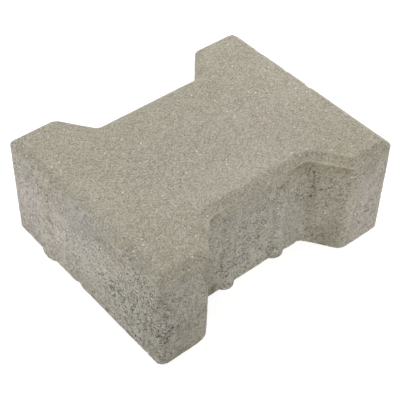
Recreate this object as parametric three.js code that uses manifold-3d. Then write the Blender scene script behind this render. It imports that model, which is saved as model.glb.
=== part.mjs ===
// Double-T interlocking paving stone, pressed concrete, one solid piece.
//
// Units are millimetres and +Z is up. The stone lies as it is laid: the bed face on Z = 0, the walking
// face on top. X runs along the length, from head to head, and Y across it, from notch to notch.
// The origin is the centre of the bed face. The outline is its own mirror image in X and in Y.

import * as THREE from 'three';
import { mergeVertices } from 'three/addons/utils/BufferGeometryUtils.js';
import Module from 'manifold-3d';

// Block. With its joints the stone covers 200 mm along X, and each row advances 140 mm along Y.
const stoneLength = 198;
const stoneWidth = 162;
const stoneHeight = 80;

// Outline. Each side notch has a straight floor and two slanted flanks, and leaves a head end beside
// each flank. The notch floor gets what the head ends and the flanks leave of the length.
const headEndLength = 37.5;
const flankRun = 18;
const notchDepth = 25.4;
const headCornerRadius = 5.3;
const headShoulderRadius = 7.2;
const notchCornerRadius = 6.4;
const notchFloorEnd = stoneLength / 2 - headEndLength - flankRun;

// Chamfer all round the walking face, flatter than 45 degrees.
const chamferWidth = 5.6;
const chamferDrop = 4.7;
const leastCornerRadius = 0.3;

// Spacer ribs: upright rounded ribs that keep the joints open. They start at the bed and run out in a
// curve below the walking face, so the joint looks clean from above.
const notchRib = { width: 13, projection: 3.5, fromNotchCorner: 21 };
const headRib = { width: 17, projection: 2.5, fromHeadCorner: 39 };
const ribTopBelowWalkingFace = 15;
const ribRunOutHeight = 12;
const ribRootDepth = 1.5;

// Facets on each corner arc, on each rib's face and on each rib's run-out.
const cornerFacets = 8;
const ribFacets = 12;
const runOutSteps = 6;

const concrete = new THREE.MeshStandardMaterial({
  name: 'concrete',
  color: 0xa7a08f,
  roughness: 0.95,
  metalness: 0,
});

// ---------------------------------------------------------------- outline

/** The sharp corners of the stone's outline, anticlockwise from the corner at +X, +Y. */
function outlineCorners() {
  const quarter = [
    { x: stoneLength / 2, y: stoneWidth / 2, radius: headCornerRadius, hollow: false },
    { x: stoneLength / 2 - headEndLength, y: stoneWidth / 2, radius: headShoulderRadius, hollow: false },
    { x: notchFloorEnd, y: stoneWidth / 2 - notchDepth, radius: notchCornerRadius, hollow: true },
  ];
  const mirrored = quarter.map((corner) => ({ ...corner, x: -corner.x })).reverse();
  const backHalf = [...quarter, ...mirrored];
  const frontHalf = backHalf.map((corner) => ({ ...corner, x: -corner.x, y: -corner.y }));
  return [...backHalf, ...frontHalf];
}

/** The rounded outline moved inwards by `inset`. It has the same number of points at every inset. */
function roundedOutline(inset) {
  const corners = outlineCorners();
  const path = new THREE.Path();
  corners.forEach((corner, index) => {
    const here = new THREE.Vector2(corner.x, corner.y);
    const before = corners.at(index - 1);
    const after = corners[(index + 1) % corners.length];
    const inbound = here.clone().sub(new THREE.Vector2(before.x, before.y)).normalize();
    const outbound = new THREE.Vector2(after.x, after.y).sub(here).normalize();

    // Walking anticlockwise, the concrete is on the left of both edges.
    const inboundLeft = new THREE.Vector2(-inbound.y, inbound.x);
    const outboundLeft = new THREE.Vector2(-outbound.y, outbound.x);
    const mitre = inboundLeft.clone().add(outboundLeft).divideScalar(1 + inboundLeft.dot(outboundLeft));

    // A parallel outline keeps the arc's centre: the arc tightens round a head and widens in a notch.
    const radius = corner.hollow
      ? corner.radius + inset
      : Math.max(corner.radius - inset, leastCornerRadius);
    const side = corner.hollow ? -1 : 1;
    const centre = here.addScaledVector(mitre, inset + side * radius);
    const start = inboundLeft.clone().multiplyScalar(-side).angle();
    const turn = inbound.angleTo(outbound);
    path.absarc(centre.x, centre.y, radius, start, start + side * turn, corner.hollow);
  });
  return path.getPoints(cornerFacets / 2);
}

// ---------------------------------------------------------------- solids

/** Raises an outline to a height. */
function atHeight(outline, z) {
  return outline.map((point) => new THREE.Vector3(point.x, point.y, z));
}

/** Skins a stack of anticlockwise rings, lowest first and all with as many points, and caps both ends. */
function loft(rings) {
  const count = rings[0].length;
  const topStart = (rings.length - 1) * count;
  const indices = [];
  for (let start = 0; start < topStart; start += count) {
    for (let i = 0; i < count; i += 1) {
      const a = start + i;
      const b = start + ((i + 1) % count);
      indices.push(a, b, b + count);
      indices.push(a, b + count, a + count);
    }
  }
  THREE.ShapeUtils.triangulateShape(rings[0], []).forEach(([a, b, c]) => indices.push(c, b, a));
  THREE.ShapeUtils.triangulateShape(rings.at(-1), []).forEach(([a, b, c]) => {
    indices.push(topStart + a, topStart + b, topStart + c);
  });
  const geometry = new THREE.BufferGeometry().setFromPoints(rings.flat());
  geometry.setIndex(indices);
  return geometry;
}

/** The block with its notches, and the chamfer that follows the outline round the walking face. */
function blockGeometry() {
  const outline = roundedOutline(0);
  return loft([
    atHeight(outline, 0),
    atHeight(outline, stoneHeight - chamferDrop),
    atHeight(roundedOutline(chamferWidth), stoneHeight),
  ]);
}

/**
 * A spacer rib standing on Z = 0, on a wall whose surface is Y = 0 and whose concrete is at +Y.
 * Its face is an arc of a circle. Near its top the whole section sinks into the wall along a quarter
 * ellipse, as the groove in the mould runs out.
 */
function ribGeometry({ width, projection }) {
  const faceRadius = (width ** 2 / 4 + projection ** 2) / (2 * projection);
  const halfAngle = Math.asin(width / 2 / faceRadius);
  const face = new THREE.Path();
  const faceCentreY = faceRadius - projection;
  face.absarc(0, faceCentreY, faceRadius, -Math.PI / 2 - halfAngle, -Math.PI / 2 + halfAngle, false);
  const section = [
    ...face.getPoints(ribFacets / 2),
    new THREE.Vector2(width / 2, ribRootDepth),
    new THREE.Vector2(-width / 2, ribRootDepth),
  ];

  const ribTop = stoneHeight - ribTopBelowWalkingFace;
  const rings = [atHeight(section, 0)];
  for (let step = 0; step <= runOutSteps; step += 1) {
    const angle = (Math.PI / 2) * (step / runOutSteps);
    const sink = (projection + ribRootDepth) * (1 - Math.cos(angle));
    const sunken = section.map((point) => new THREE.Vector2(point.x, point.y + sink));
    rings.push(atHeight(sunken, ribTop - ribRunOutHeight * (1 - Math.sin(angle))));
  }
  return loft(rings);
}

/** The ribs in their places. Half a turn about Z brings the set onto itself. */
function ribGeometries() {
  const notchRibX = notchFloorEnd - notchRib.fromNotchCorner;
  const notchFloorY = -stoneWidth / 2 + notchDepth;
  const headRibY = stoneWidth / 2 - headRib.fromHeadCorner;
  const half = [
    ribGeometry(notchRib).translate(-notchRibX, notchFloorY, 0),
    ribGeometry(notchRib).translate(notchRibX, notchFloorY, 0),
    ribGeometry(headRib).rotateZ(-Math.PI / 2).translate(-stoneLength / 2, headRibY, 0),
  ];
  const otherHalf = half.map((rib) => rib.clone().rotateZ(Math.PI));
  return [...half, ...otherHalf];
}

// ---------------------------------------------------------------- one piece

const wasm = await Module();
wasm.setup();

/** Turns a closed geometry into a solid. */
function toSolid(geometry) {
  const merged = mergeVertices(geometry);
  return new wasm.Manifold(
    new wasm.Mesh({
      numProp: 3,
      vertProperties: new Float32Array(merged.attributes.position.array),
      triVerts: new Uint32Array(merged.index.array),
    }),
  );
}

/** Turns a solid back into a geometry with one flat normal for each facet. */
function toGeometry(solid) {
  const mesh = solid.getMesh();
  const geometry = new THREE.BufferGeometry();
  geometry.setAttribute('position', new THREE.BufferAttribute(new Float32Array(mesh.vertProperties), 3));
  geometry.setIndex(new THREE.BufferAttribute(new Uint32Array(mesh.triVerts), 1));
  const faceted = geometry.toNonIndexed();
  faceted.computeVertexNormals();
  return faceted;
}

const block = toSolid(blockGeometry());
const stone = ribGeometries().map(toSolid).reduce((body, rib) => body.add(rib), block);

const pavingStone = new THREE.Mesh(toGeometry(stone), concrete);
pavingStone.name = 'paving_stone';

const model = new THREE.Group();
model.add(pavingStone);

export default model;
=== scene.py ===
"""A double-T concrete paving stone, lying on a pale floor in soft studio light.

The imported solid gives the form. Its place is taken by one finely meshed piece with the same
outline, chamfer and ribs, to which this script adds what concrete has and a plain solid lacks: the
fine grain of the face mix, the coarser open texture of the body, pores, the thin lip that the stamp
leaves at the foot of the chamfer, softened edges, worn corners, a few chips and two low lumps.
Lengths are millimetres until the mesh is made, and metres from there on.
"""

import itertools
import math

import bpy
import numpy as np
from mathutils import Matrix, Vector
from mathutils.geometry import delaunay_2d_cdt


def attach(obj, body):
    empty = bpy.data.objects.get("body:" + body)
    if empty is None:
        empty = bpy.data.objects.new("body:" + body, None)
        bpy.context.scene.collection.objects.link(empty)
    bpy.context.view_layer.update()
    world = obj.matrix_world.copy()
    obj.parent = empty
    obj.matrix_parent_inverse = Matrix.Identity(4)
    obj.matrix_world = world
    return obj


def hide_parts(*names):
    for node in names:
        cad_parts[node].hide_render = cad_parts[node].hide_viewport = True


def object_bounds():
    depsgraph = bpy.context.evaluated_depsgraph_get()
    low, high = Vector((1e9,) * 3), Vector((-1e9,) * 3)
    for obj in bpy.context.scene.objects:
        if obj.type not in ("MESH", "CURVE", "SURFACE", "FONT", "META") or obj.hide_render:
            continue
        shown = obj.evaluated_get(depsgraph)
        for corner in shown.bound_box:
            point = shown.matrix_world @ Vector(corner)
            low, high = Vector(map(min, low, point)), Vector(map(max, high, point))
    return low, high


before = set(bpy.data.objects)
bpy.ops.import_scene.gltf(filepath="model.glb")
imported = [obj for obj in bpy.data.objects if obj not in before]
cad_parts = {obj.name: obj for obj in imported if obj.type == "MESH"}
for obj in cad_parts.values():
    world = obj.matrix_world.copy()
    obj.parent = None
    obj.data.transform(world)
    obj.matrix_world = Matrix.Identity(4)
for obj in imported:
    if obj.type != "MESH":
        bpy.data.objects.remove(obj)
cad_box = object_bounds()

MM = 0.001

# ---------------------------------------------------------------- the stone's form, as in the solid

LENGTH, WIDTH, HEIGHT = 198.0, 162.0, 80.0
HEAD_END, FLANK_RUN, NOTCH_DEPTH = 37.5, 18.0, 25.4
HEAD_RADIUS, SHOULDER_RADIUS, NOTCH_RADIUS = 5.3, 7.2, 6.4
CHAMFER_WIDTH, CHAMFER_DROP = 5.6, 4.7
CHAMFER_FOOT = HEIGHT - CHAMFER_DROP
NOTCH_FLOOR_END = LENGTH / 2 - HEAD_END - FLANK_RUN
NOTCH_WALL = WIDTH / 2 - NOTCH_DEPTH

# Spacer ribs: width, projection and distance from the stone's middle line. A rib ends in a curve
# that runs out into the wall.
NOTCH_RIB_WIDTH, NOTCH_RIB_PROJECTION, NOTCH_RIB_AT = 13.0, 3.5, 22.5
HEAD_RIB_WIDTH, HEAD_RIB_PROJECTION, HEAD_RIB_AT = 17.0, 2.5, 42.0
RIB_TOP, RIB_RUN_OUT = 65.0, 12.0

# Mesh spacing on the walls, the walking face and the bed face.
SPACING = 0.9
FACE_SPACING = 1.6
BED_SPACING = 4.0
# About how much of a side of the sharp outline is straight once its corners are rounded.
STRAIGHT_SHARE = 0.9
# How far the points inside a cap stray and how close they come to its rim, both in spacings.
CAP_STRAY, CAP_MARGIN = 0.15, 0.6
CAP_STRAY_SIZE = 2.0
CAP_SEEDS = (1, 2)

# The softened bottom edge: inset and height of its rings.
BOTTOM_EDGE = ((0.35, 0.0), (0.08, 0.2))
# Even rings start this high and end this far below the chamfer's foot. Closer ones follow.
EVEN_START, EVEN_END = 0.9, 1.5
CLOSE_RINGS = (0.9, 0.4, 0.1)
FOOT_INSET = 0.12
# The chamfer starts with a level rim and passes into the walking face in a soft shoulder.
RIM_WIDTH = 0.85
ARRIS_SOFTNESS = 0.3
SHOULDER_WIDTH = 1.8
CHAMFER_STEPS = 10
# A convex corner keeps at least this radius when the outline is moved inwards.
LEAST_RADIUS = 0.4
# A wall faces along an axis where that part of its normal is larger than this.
FACES_AXIS = 0.999


def outline_corners():
    """(corner, radius, hollow) of the sharp outline, anticlockwise from the corner at +X, +Y."""
    quarter = [
        ((LENGTH / 2, WIDTH / 2), HEAD_RADIUS, False),
        ((LENGTH / 2 - HEAD_END, WIDTH / 2), SHOULDER_RADIUS, False),
        ((NOTCH_FLOOR_END, NOTCH_WALL), NOTCH_RADIUS, True),
    ]
    half = quarter + [((-x, y), r, hollow) for (x, y), r, hollow in reversed(quarter)]
    return half + [((-x, -y), r, hollow) for (x, y), r, hollow in half]


CORNERS = outline_corners()


def outline(inset):
    """(points, outward normals) of the rounded outline moved inwards, as many at every inset."""
    here = np.array([c for c, _, _ in CORNERS])
    along = np.roll(here, -1, 0) - here
    lengths = np.linalg.norm(along, axis=1)
    along /= lengths[:, None]
    inward = np.stack([-along[:, 1], along[:, 0]], 1)
    arcs = []
    for i, (_, radius, hollow) in enumerate(CORNERS):
        a, b = inward[i - 1], inward[i]
        side = 1.0 if hollow else -1.0
        size = radius + inset if hollow else max(radius - inset, LEAST_RADIUS)
        centre = here[i] + (a + b) / (1 + a @ b) * (inset - side * size)
        start = math.atan2(side * a[1], side * a[0])
        sweep = math.atan2(side * b[1], side * b[0]) - start
        sweep = (sweep + math.pi) % (2 * math.pi) - math.pi
        steps = max(3, round(radius * abs(sweep) / SPACING))
        angle = start + sweep * np.arange(steps + 1) / steps
        spokes = np.stack([np.cos(angle), np.sin(angle)], 1)
        arcs.append((centre + size * spokes, -side * spokes))
    points, normals = [], []
    for i, (arc, spokes) in enumerate(arcs):
        following = arcs[(i + 1) % len(arcs)][0][0]
        steps = max(2, round(lengths[i] * STRAIGHT_SHARE / SPACING))
        t = np.arange(1, steps)[:, None] / steps
        points += [arc, arc[-1] + (following - arc[-1]) * t]
        normals += [spokes, np.repeat(spokes[-1:], steps - 1, 0)]
    return np.concatenate(points), np.concatenate(normals)


def profile():
    """(inset, height) of each ring, from the bed upwards."""
    count = round((CHAMFER_FOOT - EVEN_START - EVEN_END) / SPACING)
    rings = [*BOTTOM_EDGE]
    rings += [(0.0, z) for z in np.linspace(EVEN_START, CHAMFER_FOOT - EVEN_END, count)]
    rings += [(0.0, CHAMFER_FOOT - below) for below in CLOSE_RINGS]
    rings.append((FOOT_INSET, CHAMFER_FOOT))
    for inset in np.linspace(RIM_WIDTH, CHAMFER_WIDTH + SHOULDER_WIDTH, CHAMFER_STEPS):
        depth = CHAMFER_DROP * (1 - (inset - RIM_WIDTH) / (CHAMFER_WIDTH - RIM_WIDTH))
        rounded = ARRIS_SOFTNESS * math.log1p(math.exp(depth / ARRIS_SOFTNESS))
        rings.append((inset, HEIGHT - rounded))
    return rings


# ---------------------------------------------------------------- noise, the same on every run

# Added to every position in cells, so that a cell's numbers are never negative.
CELL_OFFSET = 1000.0
# Brings the smooth noise to a range of about -1 to 1.
NOISE_GAIN = 1.9


def hashed(cells, seed):
    """A number from 0 to 1 for each whole-number cell. The long constants only mix the bits."""
    c = cells.astype(np.int64).astype(np.uint64)
    h = c[..., 0] * np.uint64(73856093)
    h = h ^ c[..., 1] * np.uint64(19349663)
    h = h ^ c[..., 2] * np.uint64(83492791)
    h = h + np.uint64(seed * 2654435761 + 12345)
    h = (h ^ (h >> np.uint64(29))) * np.uint64(0xBF58476D1CE4E5B9)
    h = (h ^ (h >> np.uint64(32))) * np.uint64(0x94D049BB133111EB)
    return ((h ^ (h >> np.uint64(31))) & np.uint64(0xFFFFFF)).astype(np.float64) / 0xFFFFFF


def smooth_noise(points, size, seed):
    """Soft noise from about -1 to 1, with lumps of that size."""
    q = np.asarray(points) / size + CELL_OFFSET
    cell = np.floor(q)
    f = q - cell
    w = f * f * f * (f * (f * 6 - 15) + 10)
    total = np.zeros(len(q))
    for corner in itertools.product((0, 1), repeat=3):
        at = cell + corner
        slope = np.stack([hashed(at, seed * 3 + k) for k in range(3)], -1) * 2 - 1
        weight = np.prod(np.where(corner, w, 1 - w), axis=1)
        total += weight * ((f - corner) * slope).sum(1)
    return np.clip(total * NOISE_GAIN, -1, 1)


def layers(points, rows):
    """Soft noise of several sizes, added up. Each row gives height, size and seed."""
    return sum(height * smooth_noise(points, size, seed) for height, size, seed in rows)


def strayed(points, reach, size, seeds):
    """The points, each moved by soft noise with that reach and size."""
    return points + reach * np.column_stack([smooth_noise(points, size, seed) for seed in seeds])


def grains(points, size, seed):
    """Points are scattered one to a cell. Returns the distance to the nearest in cell widths, how
    much further the next one is, and the nearest one's own number from 0 to 1."""
    q = np.asarray(points) / size + CELL_OFFSET
    cell = np.floor(q)
    best = np.full(len(q), np.inf)
    second = np.full(len(q), np.inf)
    number = np.zeros(len(q))
    for step in itertools.product((-1, 0, 1), repeat=3):
        at = cell + step
        centre = at + np.stack([hashed(at, seed * 5 + k) for k in range(3)], -1)
        away = np.linalg.norm(q - centre, axis=1)
        nearer = away < best
        second = np.where(nearer, best, np.minimum(second, away))
        number = np.where(nearer, hashed(at, seed * 5 + 4), number)
        best = np.where(nearer, away, best)
    return best, second - best, number


def ramp(x, low, high):
    """0 at or before low, 1 at or past high, smooth between. low may be the larger."""
    t = np.clip((x - low) / (high - low), 0, 1)
    return t * t * (3 - 2 * t)


def blob(points, centre, radii):
    """1 at the centre, falling smoothly to 0 at the ellipsoid with those radii."""
    away = np.linalg.norm((points - np.array(centre)) / np.array(radii), axis=1)
    return ramp(away, 1.0, 0.0)


def patches(points, rows):
    """Soft patches, added up. Each row gives centre, radii and the amount in the middle."""
    return sum(amount * blob(points, centre, radii) for centre, radii, amount in rows)


# ---------------------------------------------------------------- the smooth form


def inside(points, ring):
    """Which points lie inside the closed ring, and each one's distance from the ring's points."""
    hits = np.zeros(len(points), bool)
    away = np.full(len(points), np.inf)
    x, y = points.T
    for (ax, ay), (bx, by) in zip(ring, np.roll(ring, -1, 0)):
        if ay != by:
            crosses = (ay > y) != (by > y)
            hits ^= crosses & (x < (bx - ax) * (y - ay) / (by - ay) + ax)
        away = np.minimum(away, (x - ax) ** 2 + (y - ay) ** 2)
    return hits, np.sqrt(away)


def cap(ring, spacing):
    """(inner points, triangles) that fill a ring. A triangle's indices count the ring first."""
    rows = np.arange(-WIDTH / 2, WIDTH / 2, spacing * math.sqrt(3) / 2)
    columns = np.arange(-LENGTH / 2, LENGTH / 2, spacing)
    grid = np.array([(x + (j % 2) * spacing / 2, y) for j, y in enumerate(rows) for x in columns])
    flat = np.column_stack([grid, np.zeros(len(grid))])
    stray = np.column_stack([smooth_noise(flat, CAP_STRAY_SIZE, seed) for seed in CAP_SEEDS])
    grid = grid + CAP_STRAY * spacing * stray
    hit, away = inside(grid, ring)
    grid = grid[hit & (away > CAP_MARGIN * spacing)]
    edges = [(i, (i + 1) % len(ring)) for i in range(len(ring))]
    points = [Vector(p) for p in np.concatenate([ring, grid])]
    _, _, triangles, origins, _, _ = delaunay_2d_cdt(points, edges, [], 1, 1e-6)
    return grid, [[origins[v][0] for v in triangle] for triangle in triangles]


def smooth_form():
    """The stone without its ribs and texture: points, the wall's outward normals and faces."""
    rings = profile()
    walls = [outline(inset) for inset, _ in rings]
    count = len(walls[0][0])
    points = [np.column_stack([xy, np.full(count, z)]) for (xy, _), (_, z) in zip(walls, rings)]
    outward = [np.column_stack([n, np.zeros(count)]) for _, n in walls]
    faces = []
    for r, i in itertools.product(range(len(rings) - 1), range(count)):
        a, b = r * count + i, r * count + (i + 1) % count
        faces.append((a, b, b + count, a + count))
    size = len(rings) * count
    # The bed's triangles are turned over, so that they face down.
    caps = ((0, 0.0, BED_SPACING, -1), (len(rings) - 1, HEIGHT, FACE_SPACING, 1))
    for ring, z, spacing, step in caps:
        inner, triangles = cap(walls[ring][0], spacing)
        index = np.concatenate([ring * count + np.arange(count), size + np.arange(len(inner))])
        faces += [tuple(int(index[v]) for v in triangle[::step]) for triangle in triangles]
        points.append(np.column_stack([inner, np.full(len(inner), z)]))
        outward.append(np.zeros((len(inner), 3)))
        size += len(inner)
    return np.concatenate(points), np.concatenate(outward), faces


def rib(across, z, width, projection):
    """How far a rib stands out of its wall, that far from its middle line and at that height."""
    radius = (width * width / 4 + projection * projection) / (2 * projection)
    arc = np.sqrt(np.maximum(radius * radius - across * across, 0.0)) - (radius - projection)
    run_out = np.clip((z - RIB_TOP + RIB_RUN_OUT) / RIB_RUN_OUT, 0, 1)
    return np.maximum(arc, 0) * np.sqrt(1 - run_out * run_out)


def ribs(points, outward):
    """How far each point of the walls moves out for the spacer ribs."""
    x, y, z = points.T
    out = np.zeros(len(points))
    in_notch = (np.abs(outward[:, 1]) > FACES_AXIS) & (np.abs(x) < NOTCH_FLOOR_END)
    for at in (-NOTCH_RIB_AT, NOTCH_RIB_AT):
        out += in_notch * rib(x - at, z, NOTCH_RIB_WIDTH, NOTCH_RIB_PROJECTION)
    on_head = np.abs(outward[:, 0]) > FACES_AXIS
    out += on_head * rib(y + np.sign(x) * HEAD_RIB_AT, z, HEAD_RIB_WIDTH, HEAD_RIB_PROJECTION)
    return out


def vertex_normals(points, faces):
    """Area-weighted normals of the mesh."""
    triangles = np.array([(f[0], f[k], f[k + 1]) for f in faces for k in range(1, len(f) - 1)])
    a, b, c = (points[triangles[:, k]] for k in range(3))
    slopes = np.cross(b - a, c - a)
    normals = np.zeros_like(points)
    for k in range(3):
        np.add.at(normals, triangles[:, k], slopes)
    return normals / np.maximum(np.linalg.norm(normals, axis=1, keepdims=True), 1e-12)


# ---------------------------------------------------------------- the texture of the concrete

# The border between face mix and body: how far it lies below the chamfer's foot, half its width,
# where it lies higher, and how it wanders, along the walls and from place to place.
BORDER_BELOW, BORDER_HALF_WIDTH = 3.4, 3.6
BORDER_LIFTS = (((-99, 0, 76), (24, 130, 40), 4.6),)
BORDER_WANDERS, BORDER_TREMBLES = ((2.6, 14, 61),), ((1.0, 4, 62),)

# How open the texture is: usual for the body, least for it, for the face mix, and where it differs.
BODY_OPENNESS, LEAST_OPENNESS, FACE_OPENNESS = 0.58, 0.3, 0.22
OPEN_PLACES = (
    ((-99, -66, 26), (18, 70, 64), 1.0),
    ((-99, -81, 36), (12, 10, 90), -0.5),
    ((-78, -81, 30), (22, 10, 70), -0.2),
    ((0, -56, 36), (60, 12, 70), 0.09),
    ((-99, 50, 36), (14, 60, 60), 0.08),
)
OPENNESS_WANDERS = ((0.25, 24, 31),)

# Unevenness of the whole surface, and what open texture adds to it: height, size, seed.
WAVES = ((0.10, 38, 11), (0.06, 15, 12))
LUMPS = ((0.13, 6.5, 13), (0.08, 3.4, 14), (0.10, 1.9, 15))
# Grains and pores stray from their cells: reach, size, seeds.
STRAY = (0.9, 3.0, (41, 42, 43))
# Stones under the skin, and how far from its middle one ends and is whole, in cells.
STONE_SIZE, STONE_SEED, STONE_HEIGHT, STONE_EDGE = 3.3, 16, 0.16, (0.6, 0.1)
# The gaps that open between stones, and the patches in which they do.
GAP_DEPTH, GAP_EDGE = 0.40, (0.20, 0.02)
GAP_PATCH_SIZE, GAP_PATCH_SEED, GAP_PATCH_EDGE = 7.0, 44, (0.0, 0.5)
# Pores, which only some of the cells have.
PORE_SPACING, PORE_SEED, PORE_DEPTH = 2.4, 17, 0.55
PORE_EDGE, PORE_SHARE = (0.50, 0.16), (0.26, 0.06)
# How strongly the material paints shade into a gap or a pore.
HOLLOW_GAIN = 1.6
# The mould presses down what stands out, to this height plus this share of its own.
PRESSED_ABOVE, PRESSED_SHARE = 0.05, 0.15


def face_mix(points):
    """1 where the stone is face mix and 0 where it is body, with a border that wanders."""
    border = CHAMFER_FOOT - BORDER_BELOW + patches(points, BORDER_LIFTS)
    border += layers(points * (1, 1, 0), BORDER_WANDERS) + layers(points, BORDER_TREMBLES)
    return ramp(points[:, 2] - border, -BORDER_HALF_WIDTH, BORDER_HALF_WIDTH)


def relief(points, face):
    """(move along the normal, how much painted shade its hollow gets from 0 to 1, openness) of each
    point.
    """
    openness = BODY_OPENNESS + patches(points, OPEN_PLACES) + layers(points, OPENNESS_WANDERS)
    openness = np.maximum(openness, LEAST_OPENNESS) * (1 - face) + FACE_OPENNESS * face
    moved = strayed(points, *STRAY)
    near, gap, number = grains(moved, STONE_SIZE, STONE_SEED)
    stones = STONE_HEIGHT * ramp(near, *STONE_EDGE) * number
    patchy = ramp(smooth_noise(points, GAP_PATCH_SIZE, GAP_PATCH_SEED), *GAP_PATCH_EDGE)
    gaps = ramp(gap, *GAP_EDGE) * patchy
    near, _, number = grains(moved, PORE_SPACING, PORE_SEED)
    pores = ramp(near, *PORE_EDGE) * ramp(number, *PORE_SHARE)
    hollow = GAP_DEPTH * gaps + PORE_DEPTH * pores
    move = layers(points, WAVES) + openness * (layers(points, LUMPS) + stones - hollow)
    move = np.minimum(move, PRESSED_ABOVE + PRESSED_SHARE * move)
    return move, np.clip(openness * hollow * HOLLOW_GAIN, 0, 1), openness


# Soft differences in lightness over the stone: centre, radii, and how much lighter the middle is.
# The rows with a note are painted light and shade.
TONES_AND_PAINTED_LIGHT = (
    # The head at -X.
    ((-99, 44, 40), (40, 56, 50), 0.13),
    ((-99, -26, 32), (18, 70, 40), 0.145),
    ((-99, 25, 38), (9, 14, 32), 0.10),
    ((-99, -30, 68), (20, 20, 9), -0.10),
    ((-99, 0, 65), (30, 80, 14), -0.12),
    ((-99, 0, 54), (10, 18, 12), -0.08),
    ((-99, 62, 7), (8, 20, 10), -0.09),
    ((-99, 5, 10), (8, 22, 6), -0.13),
    ((-99, -25, 16), (12, 32, 24), -0.08),
    ((-99, 60, 71), (8, 26, 7), -0.07),
    # Painted light: the band at the chamfer's foot made lighter, where the level rim falls into
    # shade.
    ((-99, -5, 75.6), (6, 120, 1.3), 0.14),
    ((-96, 50, 78), (5, 60, 4), -0.10),
    # The front face beside it.
    ((-90, -81, 30), (50, 40, 70), -0.14),
    ((-97, -80, 62), (8, 12, 22), -0.14),
    ((-97, -80, 36), (8, 12, 16), 0.08),
    ((-72, -81, 8), (24, 14, 44), -0.13),
    ((-84, -81, 46), (30, 14, 44), -0.10),
    # Painted shade, this row and the next: the rounded shoulder where the front face turns into the
    # flank, which the lamp at the right lights, made darker.
    ((-61, -79, 36), (6, 9, 50), -0.10),
    ((-62, -80, 64), (9, 9, 22), -0.24),
    ((-54, -63, 77), (8, 13, 5), -0.19),
    ((-87, -81, 2), (14, 6, 11), -0.30),
    ((-73, -81, 4), (15, 6, 12), -0.15),
    # The front notch, from its left corner to its right one.
    # Painted shade in the notch's left corner, this row and the next two, where the head beside it
    # keeps off the light.
    ((-40, -56, 4), (14, 14, 46), -0.25),
    ((-41, -57, 0), (12, 14, 16), -0.16),
    ((-43, -56, 54), (4, 8, 18), -0.18),
    # Painted light: the shade under the lip at this corner made lighter.
    ((-35, -57, 68), (16, 10, 10), 0.12),
    # Painted light and shade on the left rib, this row and the next two: lighter on its left flank
    # and on the wall right of it, darker on its right flank.
    ((-28, -57, 30), (5, 8, 60), 0.18),
    ((-20, -58, 38), (4, 8, 36), -0.22),
    ((-14, -56, 26), (5, 8, 40), 0.13),
    ((-4, -56, 60), (16, 10, 16), -0.11),
    ((16, -56, 66), (22, 10, 12), 0.06),
    ((0, -56, 10), (56, 10, 30), 0.07),
    # More painted shade low in the notch's left corner.
    ((-34, -56, 5.5), (9, 8, 5), -0.30),
    ((0, -56, 3.2), (32, 8, 2.8), -0.17),
    # Painted shade on the right rib's right flank.
    ((25, -59, 28), (4, 8, 34), -0.12),
    ((38, -56, 16), (16, 10, 30), 0.08),
    ((32, -56, 57), (8, 8, 10), 0.27),
    ((33, -56, 73), (12, 8, 6), -0.12),
    # The right corner of the notch and its flank.
    ((47, -58, 54), (8, 10, 24), -0.04),
    ((46, -60, 71), (9, 9, 7), 0.15),
    ((52, -67, 54), (12, 14, 34), 0.11),
    ((54, -66, 76), (18, 16, 4.5), 0.17),
    ((55, -71, 6), (16, 18, 26), -0.23),
    # The front face at +X.
    ((72, -81, 4), (14, 6, 7), -0.12),
    ((82, -81, 22), (26, 20, 50), 0.08),
    ((82, -80, 74), (22, 12, 18), -0.10),
    # The walking face and the chamfer at its back.
    ((53, 69, 78), (14, 16, 6), 0.16),
    ((86, 24, 80), (16, 54, 8), 0.05),
    ((76, -60, 80), (34, 30, 8), -0.06),
    ((-2, -42, 80), (60, 30, 8), 0.11),
    ((-84, -4, 80), (20, 44, 8), 0.07),
)
# Soft differences in hue: centre, radii, and how much browner and greener the middle is.
HUES = (
    ((56, -72, 38), (24, 24, 90), 1.5, -0.3),
    ((-64, -80, 60), (12, 14, 26), 0.6, 0.3),
    ((-99, 68, 34), (16, 34, 60), -0.5, -2.4),
    ((-99, 30, 38), (16, 34, 58), -0.1, -2.1),
    ((-99, 0, 56), (16, 28, 36), -1.0, -0.9),
    ((-99, 41, 30), (14, 11, 64), 0.5, 1.2),
    ((-99, -40, 62), (16, 30, 20), 0.1, -1.2),
    ((-99, -60, 24), (16, 40, 50), -0.3, 0.1),
    ((-85, -81, 46), (30, 14, 60), -0.4, -0.3),
    ((82, -81, 40), (26, 14, 62), 0.2, -2.5),
    ((0, -56, 40), (56, 10, 34), 0.0, 0.6),
    ((24, -56, 64), (32, 10, 18), 0.6, 0.0),
    ((-35, -57, 68), (16, 10, 10), 0.5, -0.5),
    ((-80, -79, 78), (26, 12, 7), 0.4, 0.5),
    ((42, -57, 58), (17, 13, 30), 0.9, 0.1),
    ((48, -62, 16), (11, 11, 30), 0.4, 0.0),
    ((-90, -78, 50), (24, 20, 50), 0.0, -0.4),
    ((8, -12, 80), (105, 62, 8), -0.30, -0.60),
)
# Where the lip stands out more or less: centre, radii, amount.
LIPS = (
    ((-40, -56, 0), (22, 22, 9), 0.90),
    ((0, -56, 0), (30, 14, 9), 0.12),
    ((40, -56, 0), (18, 18, 9), 0.90),
    ((58, -72, 0), (18, 20, 9), 0.80),
    ((-76, -81, 0), (17, 9, 9), 0.45),
    ((-99, 0, 0), (20, 120, 9), -0.15),
)
# Where concrete fills a corner of the notch at the foot of the chamfer: centre, radii, amount.
FILLS = (((-44.5, -58.8, 0), (10, 10, 9), 2.3),)
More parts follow.
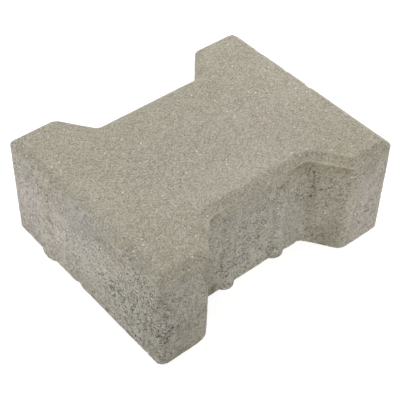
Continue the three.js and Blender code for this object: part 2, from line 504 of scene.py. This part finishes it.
# Worn or chipped places, and two that stand out: centre, radii, depth.
CHIPS = (
    ((-62, -82, 0), (8, 9, 12), 0.85),
    ((99, 0, 76), (6, 4, 5), 1.2),
    ((99, 24, 76), (5, 3, 4), 0.7),
    ((99, 52, 75), (5, 9, 4), 0.4),
    ((-99, 8, 0), (6, 5, 5), 1.0),
    ((37, -56, 0), (10.5, 8, 14), -1.1),
    ((57, -74, 0), (11, 12, 10), -0.5),
)
# Single deep pores: centre and radius.
PITS = (
    ((46.2, -59.5, 65.8), 1.5),
    ((46.8, -60.3, 58.8), 1.6),
    ((46.6, -60.0, 53.2), 2.0),
    ((48.8, -63.0, 61.5), 1.3),
    ((37.5, -55.6, 48.0), 1.8),
    ((46.2, -59.5, 44.6), 1.6),
    ((52.9, -68.9, 38.2), 1.7),
)

# The lip: its usual strength, how it varies along the walls, how ragged it is, and the least.
LIP_USUAL, LIP_VARIES, LIP_RAGGED, LIP_LEAST = 0.15, ((0.15, 16, 21),), ((0.3, 7, 22),), 0.05
# LIPS counts in full as it stands, and with this share when turned half round.
LIP_SIDES = ((1, 1.0), (-1, 0.6))
# Depths below the chamfer's foot: where the wall starts to draw in under the lip and is in, and
# where it is back out and is still in. A point less than AT_FOOT below the foot is on it.
DRAWS_IN, BACK_OUT, AT_FOOT = (0.05, 0.8), (20, 1.5), 0.02
# Heights where a fill starts and is whole, and where it has ended and starts to end.
FILL_SWELLS = (CHAMFER_FOOT - 1.3, CHAMFER_FOOT - 0.1)
FILL_ENDS = (HEIGHT, CHAMFER_FOOT + 0.3)
# The ragged edge of worn places: reach, size, seeds.
RAGGED = (0.9, 4.0, (51, 52, 53))
# How much more painted shade a single pore gets than the open texture's hollows.
PIT_DARKNESS = 2.2
# Where brown patches overlap, it gets no browner than this.
BROWNEST = 1.0
# How far the surface stays inside the solid's box.
BOX_MARGIN = 0.02


def hues(points):
    """How much browner and how much greener than usual each point is."""
    brown = patches(points, [(centre, radii, browner) for centre, radii, browner, _ in HUES])
    green = patches(points, [(centre, radii, greener) for centre, radii, _, greener in HUES])
    return np.minimum(brown, BROWNEST), green


def wear(points):
    """How far worn and chipped places are pressed in."""
    return patches(strayed(points, *RAGGED), CHIPS)


def pits(points):
    """How deep in a single pore each point is, from 0 to 1."""
    return sum(blob(points, centre, (radius,) * 3) for centre, radius in PITS)


def lip(points, outward):
    """(how strong the thin lip is that the stamp leaves, how far the wall below it is drawn in)."""
    below = CHAMFER_FOOT - points[:, 2]
    along = points * (1, 1, 0)
    strength = LIP_USUAL + layers(along, LIP_VARIES)
    for side, share in LIP_SIDES:
        strength += share * patches(along * (side, side, 1), LIPS)
    strength = np.maximum(strength * (1 + layers(along, LIP_RAGGED)), LIP_LEAST)
    strength *= np.linalg.norm(outward, axis=1)
    draw_in = strength * (below > AT_FOOT) * ramp(below, *DRAWS_IN) * ramp(below, *BACK_OUT)
    return strength, draw_in


def fill(points):
    """How far the foot of the chamfer stands out."""
    z = points[:, 2]
    return patches(points * (1, 1, 0), FILLS) * ramp(z, *FILL_SWELLS) * ramp(z, *FILL_ENDS)


def textured():
    """The finished mesh: points, faces and the numbers that the material reads."""
    points, outward, faces = smooth_form()
    points = points + outward * ribs(points, outward)[:, None]
    normals = vertex_normals(points, faces)
    face = face_mix(points)
    move, hollow, openness = relief(points, face)
    strength, draw_in = lip(points, outward)
    swell = fill(points)
    pit = pits(points)
    brown, green = hues(points)
    # hollow carries the painted shade for gaps and pores, and most for the single deep pores.
    numbers = {"face": face, "openness": openness, "hollow": np.maximum(hollow, PIT_DARKNESS * pit)}
    numbers |= {"tone_and_painted_light": patches(points, TONES_AND_PAINTED_LIGHT), "lip": strength, "brown": brown, "green": green}
    # Wear near the bed presses straight in, so that the bottom edge stays whole.
    pressed = np.where(points[:, 2:] < HEIGHT / 2, outward, normals) * wear(points)[:, None]
    points = points + normals * (move - pit)[:, None] + outward * (swell - draw_in)[:, None]
    points = points - pressed
    low, high = (np.array(corner) / MM for corner in cad_box)
    return np.clip(points, low + BOX_MARGIN, high - BOX_MARGIN), faces, numbers


def make_stone():
    """The visible stone, with the material's numbers on its points."""
    points, faces, numbers = textured()
    mesh = bpy.data.meshes.new("stone")
    sizes = np.array([len(f) for f in faces])
    mesh.vertices.add(len(points))
    mesh.vertices.foreach_set("co", (points * MM).ravel())
    mesh.loops.add(int(sizes.sum()))
    mesh.loops.foreach_set("vertex_index", np.concatenate([np.array(f) for f in faces]))
    mesh.polygons.add(len(faces))
    mesh.polygons.foreach_set("loop_start", np.concatenate([[0], np.cumsum(sizes)[:-1]]))
    mesh.update(calc_edges=True)
    mesh.validate()
    mesh.shade_smooth()
    for name, values in numbers.items():
        mesh.attributes.new(name, "FLOAT", "POINT").data.foreach_set("value", values)
    stone = bpy.data.objects.new("stone", mesh)
    bpy.context.collection.objects.link(stone)
    return stone


# ---------------------------------------------------------------- material
#
# Sizes are millimetres. A pair for ramp says where it is 0 and where it is 1. A pair for fade is
# the amount on the body and on the face mix, unless something else is said.

FACE_COLOR = (0.4035, 0.3727, 0.2975, 1)
BODY_COLOR = (0.429, 0.405, 0.336, 1)
# The colour of dark mineral grains, and of the painted shade in hollows, gaps and pores.
PIT_COLOR = (0.100, 0.092, 0.062, 1)
QUARTZ_COLOR = (0.80, 0.77, 0.69, 1)
# What a colour is multiplied by: for cement that came to the surface, and for the painted shadow
# under the lip.
CEMENT_TINT = (1.035, 1.020, 1.065, 1)
LIP_SHADOW_TINT = (1.000, 0.980, 0.930, 1)
# How much a change of 1 in lightness, brownness, greenness and mottling changes each channel.
LIGHTER = (0.970, 1.0, 1.105)
BROWNER = (0.017, 0.0, -0.063)
GREENER = (-0.008, 0.010, -0.008)
MOTTLED = (0.055, 0.035, 0.075)


class Nodes:
    """Short calls that add shader nodes to one material and link them."""

    def __init__(self, tree):
        self.tree = tree
        self.tree.nodes.clear()

    def put(self, socket, value):
        """Link another node's output to an input, or set the input to a plain value."""
        if isinstance(value, bpy.types.NodeSocket):
            self.tree.links.new(value, socket)
        else:
            socket.default_value = value

    def add(self, kind, inputs=(), **settings):
        """A node with those settings and inputs."""
        node = self.tree.nodes.new(kind)
        for key, value in settings.items():
            setattr(node, key, value)
        for key, value in dict(inputs).items():
            self.put(node.inputs[key], value)
        return node

    def math(self, operation, *values):
        """A sum on numbers."""
        node = self.add("ShaderNodeMath", dict(enumerate(values)), operation=operation)
        return node.outputs[0]

    def times(self, a, b):
        """The product of two numbers."""
        return self.math("MULTIPLY", a, b)

    def add_up(self, first, *others):
        """The sum of several numbers."""
        for other in others:
            first = self.math("ADD", first, other)
        return first

    def centred(self, value):
        """Noise about 0.5 made noise about 0."""
        return self.math("SUBTRACT", value, 0.5)

    def fade(self, value, at_zero, at_one):
        """A number that goes from at_zero to at_one as value goes from 0 to 1."""
        return self.math("MULTIPLY_ADD", value, at_one - at_zero, at_zero)

    def ramp(self, value, low, high, to_low=0.0, to_high=1.0):
        """Smooth from to_low at low to to_high at high. low may be the larger."""
        values = {"Value": value, "From Min": low, "From Max": high}
        values |= {"To Min": to_low, "To Max": to_high}
        node = self.add("ShaderNodeMapRange", values, interpolation_type="SMOOTHSTEP")
        return node.outputs["Result"]

    def vector(self, operation, *values):
        """A sum on vectors or colours."""
        node = self.add("ShaderNodeVectorMath", dict(enumerate(values)), operation=operation)
        return node.outputs[0]

    def sized(self, kind, where, size, inputs=(), **settings):
        """The outputs of a texture with features of that size."""
        values = {"Vector": where, "Scale": 1 / (size * MM), **dict(inputs)}
        return self.add(kind, values, **settings).outputs

    def noise(self, where, size, detail=2.0, roughness=0.5):
        """Noise about 0.5."""
        values = {"Detail": detail, "Roughness": roughness}
        return self.sized("ShaderNodeTexNoise", where, size, values)["Fac"]

    def noise_vector(self, where, size, detail):
        """Noise about 0.5 in three numbers."""
        return self.sized("ShaderNodeTexNoise", where, size, {"Detail": detail})["Color"]

    def cells(self, where, size):
        """Irregular cells: Distance is from the nearest middle, and Color is the cell's own."""
        return self.sized("ShaderNodeTexVoronoi", where, size)

    def edges(self, where, size):
        """Distance from the borders between irregular cells."""
        settings = {"feature": "DISTANCE_TO_EDGE"}
        return self.sized("ShaderNodeTexVoronoi", where, size, **settings)["Distance"]

    def channels(self, color):
        """The Red, Green and Blue of a colour."""
        return self.add("ShaderNodeSeparateColor", {0: color}).outputs

    def mix(self, factor, a, b, blend="MIX"):
        """Colour a where factor is 0 and b where it is 1."""
        node = self.add("ShaderNodeMix", data_type="RGBA", blend_type=blend)
        for index, value in ((0, factor), (6, a), (7, b)):
            self.put(node.inputs[index], value)
        return node.outputs[2]

    def multiplied(self, color, tint):
        """The colour, channel by channel times the tint."""
        return self.mix(1.0, color, tint, "MULTIPLY")

    def shifted(self, color, amount, change):
        """The colour with each channel multiplied by 1 + amount times its change."""
        factor = self.vector("MULTIPLY_ADD", amount, change, (1, 1, 1))
        return self.vector("MULTIPLY", color, factor)


# The top and bottom of the band of painted shadow under the lip, as heights above the chamfer's
# foot, and how far from the foot the painted highlight on the lip's rim reaches.
LIP_SHADOW_TOP, LIP_SHADOW_BOTTOM, LIP_HIGHLIGHT_REACH = (-0.4, -0.9), (-13, -4), (0.65, 0.25)


def lip_marks(n, where, strength):
    """(where the band of painted shadow under the lip is, with smoother sand, and where the lip's
    rim gets a painted highlight).
    """
    height = n.add("ShaderNodeSeparateXYZ", {0: where}).outputs["Z"]
    above = n.math("MULTIPLY_ADD", height, 1 / MM, -CHAMFER_FOOT)
    # Painted shadow in a band under the lip's foot.
    lip_shadow_band = n.times(n.ramp(above, *LIP_SHADOW_TOP), n.ramp(above, *LIP_SHADOW_BOTTOM))
    # Painted highlight along the lip's rim.
    highlight = n.ramp(n.math("ABSOLUTE", above), *LIP_HIGHLIGHT_REACH)
    return n.times(lip_shadow_band, strength), n.times(highlight, strength)


# Pores: size of their cells, which of these have one, and how far it reaches.
PORE_SIZE, PORE_CHOICE, PORE_REACH = 1.3, (0.22, 0.14), (0.46, 0.28)
# Gaps between grains: size of the grains, and by what size and how far they stray.
GAP_SIZE, GAP_STRAY_SIZE, GAP_STRAY = 2.3, 1.6, 1.3
# Gaps are open in places only.
BREAK_SIZE, BREAK_RAMP = 3.2, (0.47, 0.56)
# Half a gap's width follows a noise: its size, its range, the width's range, and how much is deep.
WIDTH_SIZE, WIDTH_NOISE, WIDTHS, DEEP_SHARE = 2.1, (0.40, 0.62), (0.04, 0.13), 0.4
# The painted highlights on the grains' rims beside the gaps: how far from a gap's middle, and how
# wide.
GRAIN_HIGHLIGHT_AT, GRAIN_HIGHLIGHT_WIDTH = 0.17, (0.07, 0.02)


def open_texture(n, where, openness):
    """(pores and short gaps between grains, which take painted shade, and painted highlights on the
    grains' rims), mostly in the open body.
    """
    pore = n.cells(where, PORE_SIZE)
    chosen = n.ramp(n.channels(pore["Color"])["Green"], *PORE_CHOICE)
    pore = n.times(chosen, n.ramp(pore["Distance"], *PORE_REACH))
    stray = n.noise_vector(where, GAP_STRAY_SIZE, 1.0)
    border = n.edges(n.vector("MULTIPLY_ADD", stray, (GAP_STRAY * MM,) * 3, where), GAP_SIZE)
    broken = n.ramp(n.noise(where, BREAK_SIZE, 1), *BREAK_RAMP)
    width = n.ramp(n.noise(where, WIDTH_SIZE, 1), *WIDTH_NOISE, *WIDTHS)
    gap = n.times(n.ramp(border, width, n.times(width, DEEP_SHARE)), broken)
    from_highlight = n.math("ABSOLUTE", n.add_up(border, -GRAIN_HIGHLIGHT_AT))
    # Painted highlight along the grains' rims beside the gaps.
    highlight = n.times(n.ramp(from_highlight, *GRAIN_HIGHLIGHT_WIDTH), broken)
    pitted = n.times(n.math("MAXIMUM", pore, gap), openness)
    return n.math("MINIMUM", pitted, 1.0), n.times(highlight, openness)


MOTTLE_SIZE, MOTTLE_AMOUNT = 9, (1.0, 0.4)
CEMENT_SIZE, CEMENT_RAMP, CEMENT_AMOUNT = 9, (0.44, 0.66), (1.0, 0.2)


def base_color(n, where, face, brown, green, lip_shadow_band):
    """Fine yellow sand on a greyer body, both mottled in hue, and browner in the painted shadow
    under the lip.
    """
    color = n.mix(face, BODY_COLOR, FACE_COLOR)
    color = n.shifted(color, brown, BROWNER)
    color = n.shifted(color, green, GREENER)
    mottle = n.vector("SUBTRACT", n.noise_vector(where, MOTTLE_SIZE, 3.0), (0.5, 0.5, 0.5))
    color = n.mix(n.fade(face, *MOTTLE_AMOUNT), color, n.shifted(color, mottle, MOTTLED))
    # Painted shadow under the lip: browner there.
    color = n.mix(n.math("MINIMUM", lip_shadow_band, 1.0), color, n.multiplied(color, LIP_SHADOW_TINT))
    # Cement that came to the surface lies in cool pale patches on the body.
    cement = n.ramp(n.noise(where, CEMENT_SIZE), *CEMENT_RAMP)
    cement = n.times(cement, n.fade(face, *CEMENT_AMOUNT))
    return n.mix(cement, color, n.multiplied(color, CEMENT_TINT))


# The usual detail of noise, finer noise for dust, and how rough each is.
SOFT, DUSTY = (3, 0.6), (2, 0.7)
# Size and contrast of soft mottling, of patches in open texture, and of grains, sand and dust. For
# patches the pair is the amount where openness is 0 and where it is 1.
BROAD_SIZE, BROAD_CONTRAST = 30, 0.18
PATCH_SIZE, PATCH_CONTRAST = 6, (-0.03, 0.67)
GRAIN_SIZE, GRAIN_CONTRAST = 1.7, (0.14, 0.02)
SAND_SIZE, SAND_CONTRAST = 0.62, (0.52, 0.65)
DUST_SIZE, DUST_CONTRAST = 0.65, (0.84, 0.86)
# Sand and dust outside and inside the band of painted shadow under the lip, and how much three
# painted
# marks lighten: that shadow, the highlight on the lip's rim and the highlights on the grains' rims.
SAND_LEFT = (1.0, 0.6)
LIP_SHADOW_LIGHT, LIP_HIGHLIGHT_LIGHT, GRAIN_HIGHLIGHT_LIGHT = -0.24, 0.21, 0.25


def lightness(n, where, sand, face, openness, lip_shadow_band, lip_highlight, grain_highlight):
    """How much lighter than usual it is, apart from the stone's broad patches of tone and painted
    light.
    It holds the painted shadow under the lip and the painted highlights on the lip's rim and the
    grains' rims.
    """
    grain = n.channels(n.cells(where, GRAIN_SIZE)["Color"])["Red"]
    sandy = n.times(n.centred(n.channels(sand["Color"])["Red"]), n.fade(face, *SAND_CONTRAST))
    dust = n.times(n.centred(n.noise(where, DUST_SIZE, *DUSTY)), n.fade(face, *DUST_CONTRAST))
    patch = n.centred(n.noise(where, PATCH_SIZE, *SOFT))
    return n.add_up(
        n.times(n.centred(n.noise(where, BROAD_SIZE, *SOFT)), BROAD_CONTRAST),
        n.times(patch, n.fade(openness, *PATCH_CONTRAST)),
        n.times(n.centred(grain), n.fade(face, *GRAIN_CONTRAST)),
        n.times(n.add_up(sandy, dust), n.fade(lip_shadow_band, *SAND_LEFT)),
        # Painted shadow under the lip, then painted highlights on the lip's rim and on the grains'
        # rims.
        n.times(lip_shadow_band, LIP_SHADOW_LIGHT),
        n.times(lip_highlight, LIP_HIGHLIGHT_LIGHT),
        n.times(grain_highlight, GRAIN_HIGHLIGHT_LIGHT),
    )


# Single grains of quartz, nearly white, and of a dark mineral, in two sizes: size of a cell, how
# far from its middle a grain reaches, and the channel of its colour that chooses. Then for each
# kind which cells have one, how much it covers, and its colour.
SPECKS = (
    (3.6, (0.20, 0.12), "Green", (
        ((0.82, 0.85), 0.88, QUARTZ_COLOR),
        ((0.16, 0.13), 0.55, PIT_COLOR),
    )),
    (1.05, (0.50, 0.30), "Blue", (
        ((0.90, 0.94), 0.38, QUARTZ_COLOR),
        ((0.09, 0.05), 0.36, PIT_COLOR),
    )),
)


def with_specks(n, where, color):
    """The colour with the single grains in it."""
    for size, reach, channel, kinds in SPECKS:
        speck = n.cells(where, size)
        number = n.channels(speck["Color"])[channel]
        spot = n.ramp(speck["Distance"], *reach)
        for choice, cover, grain_color in kinds:
            chosen = n.ramp(number, *choice, 0, cover)
            color = n.mix(n.times(spot, chosen), color, grain_color)
    return color


# How far the painted shade in hollows and in pores and gaps takes the colour to that of a pit.
HOLLOW_DARK, PITTED_DARK = 0.28, 0.82
# The bump: its two sizes, how much the coarser one counts, and what sand and pores add to it.
FINE_BUMP_SIZE, BUMP_SIZE, BUMP_AMOUNT = 0.7, 1.8, (0.8, 0.55)
SAND_BUMP, PITTED_BUMP = -0.5, -1.2
# Its depth where openness is 0 and where it is 1, in millimetres.
BUMP_DEPTH = (0.12, 0.50)
ROUGH_SIZE, ROUGH_NOISE, ROUGHNESS = 3, (0.3, 0.7), (0.86, 1.0)
SPECULAR = 0.25


def concrete():
    """The stone's material: fine face mix, the open body below it, and what lies in both."""
    material = bpy.data.materials.new("concrete")
    material.use_nodes = True
    n = Nodes(material.node_tree)
    where = n.add("ShaderNodeTexCoord").outputs["Object"]
    face, hollow, openness, tone_and_painted_light, brown, green, lip_strength = (
        n.add("ShaderNodeAttribute", attribute_name=name).outputs["Fac"]
        for name in ("face", "hollow", "openness", "tone_and_painted_light", "brown", "green", "lip")
    )
    lip_shadow_band, lip_highlight = lip_marks(n, where, lip_strength)
    pitted, grain_highlight = open_texture(n, where, openness)
    sand = n.cells(where, SAND_SIZE)
    light = lightness(n, where, sand, face, openness, lip_shadow_band, lip_highlight, grain_highlight)
    color = base_color(n, where, face, brown, green, lip_shadow_band)
    # The stone's tone with the painted light and shade of the table, and the finer lightness with
    # its painted marks.
    color = n.shifted(color, n.add_up(tone_and_painted_light, light), LIGHTER)
    # Painted shade in hollows, then in the finer pores and gaps.
    color = n.mix(n.times(hollow, HOLLOW_DARK), color, PIT_COLOR)
    color = n.mix(n.times(pitted, PITTED_DARK), color, PIT_COLOR)
    color = with_specks(n, where, color)

    heights = n.add_up(
        n.noise(where, FINE_BUMP_SIZE, *DUSTY),
        n.times(sand["Distance"], SAND_BUMP),
        n.times(n.noise(where, BUMP_SIZE), n.fade(face, *BUMP_AMOUNT)),
        n.times(pitted, PITTED_BUMP),
    )
    depth = n.fade(openness, *(amount * MM for amount in BUMP_DEPTH))
    bump = n.add("ShaderNodeBump", {"Strength": 1.0, "Distance": depth, "Height": heights})
    looks = {
        "Base Color": color,
        "Roughness": n.ramp(n.noise(where, ROUGH_SIZE, 3), *ROUGH_NOISE, *ROUGHNESS),
        "Specular IOR Level": SPECULAR,
        "Normal": bump.outputs[0],
    }
    shader = n.add("ShaderNodeBsdfPrincipled", looks)
    n.add("ShaderNodeOutputMaterial", {"Surface": shader.outputs[0]})
    return material


# ---------------------------------------------------------------- the piece

stone = make_stone()
stone.data.materials.append(concrete())
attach(stone, "root")
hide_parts("paving_stone")

# ---------------------------------------------------------------- floor, lights, camera

WHITE = (1, 1, 1, 1)
WORLD_STRENGTH = 0.5
FLOOR_HALF = 30.0
FLOOR_LOOKS = {
    "Base Color": (0.35, 0.35, 0.35, 1),
    "Roughness": 0.9,
    "Specular IOR Level": 0.0,
    "Emission Color": WHITE,
    "Emission Strength": 0.83,
}

# Square soft boxes that look at the stone: name, azimuth, elevation, distance, size and power.
LAMPS = (
    ("top", 0, 89, 1.5, 1.4, 3.0),
    ("left", -122, 30, 0.6, 0.4, 0.95),
    ("right", 110, 30, 0.6, 0.4, 1.35),
    ("back", 135, 42, 1.5, 1.2, 3.5),
    ("front", 40, 30, 0.6, 0.4, 0.4),
)
LAMPS_LOOK_AT = Vector((0, 0, 0.04))

CAMERA_AT = Vector((-0.33750, -0.38675, 0.52819))
CAMERA_AZIMUTH, CAMERA_ELEVATION, CAMERA_ROLL = 41.118, 44.495, 1.563
CAMERA_LENS, SENSOR = 93.14, 36.0
CAMERA_NEAR, CAMERA_FAR = 0.01, 100


def make_floor():
    """A pale floor that glows a little, so that it stays as white as a studio's."""
    material = bpy.data.materials.new("pale_floor")
    material.use_nodes = True
    shader = material.node_tree.nodes["Principled BSDF"]
    for name, value in FLOOR_LOOKS.items():
        shader.inputs[name].default_value = value
    mesh = bpy.data.meshes.new("floor")
    corners = [(x * FLOOR_HALF, y * FLOOR_HALF, 0) for x, y in ((-1, -1), (1, -1), (1, 1), (-1, 1))]
    mesh.from_pydata(corners, [], [(0, 1, 2, 3)])
    mesh.materials.append(material)
    floor = bpy.data.objects.new("floor", mesh)
    bpy.context.collection.objects.link(floor)


def make_lamp(name, azimuth, elevation, distance, size, power):
    """A square soft box. Azimuth 0 is at -Y and 90 at +X, as a viewer stands."""
    data = bpy.data.lights.new(name, "AREA")
    data.shape, data.size, data.energy = "SQUARE", size, power
    lamp = bpy.data.objects.new(name, data)
    a, e = math.radians(azimuth), math.radians(elevation)
    away = Vector((math.sin(a) * math.cos(e), -math.cos(a) * math.cos(e), math.sin(e)))
    lamp.location = away * distance + LAMPS_LOOK_AT
    lamp.rotation_euler = away.to_track_quat("Z", "Y").to_euler()
    lamp.visible_camera = False
    bpy.context.collection.objects.link(lamp)


def make_world():
    """Even white light from everywhere, shown as it is, without a film curve."""
    world = bpy.data.worlds.new("studio")
    world.use_nodes = True
    background = world.node_tree.nodes["Background"]
    background.inputs["Color"].default_value = WHITE
    background.inputs["Strength"].default_value = WORLD_STRENGTH
    bpy.context.scene.world = world
    bpy.context.scene.view_settings.view_transform = "Standard"


def make_camera():
    """The camera, turned by azimuth and elevation and then rolled about its own axis."""
    data = bpy.data.cameras.new("camera")
    data.lens, data.sensor_width = CAMERA_LENS, SENSOR
    data.clip_start, data.clip_end = CAMERA_NEAR, CAMERA_FAR
    camera = bpy.data.objects.new("camera", data)
    a, e, r = (math.radians(v) for v in (CAMERA_AZIMUTH, CAMERA_ELEVATION, CAMERA_ROLL))
    forward = Vector((math.sin(a) * math.cos(e), math.cos(a) * math.cos(e), -math.sin(e)))
    right = Vector((math.cos(a), -math.sin(a), 0))
    up = right.cross(forward)
    right, up = right * math.cos(r) + up * math.sin(r), up * math.cos(r) - right * math.sin(r)
    turn = Matrix((right, up, -forward)).transposed()
    camera.matrix_world = Matrix.Translation(CAMERA_AT) @ turn.to_4x4()
    bpy.context.collection.objects.link(camera)
    bpy.context.scene.camera = camera


make_floor()
for lamp in LAMPS:
    make_lamp(*lamp)
make_world()
make_camera()
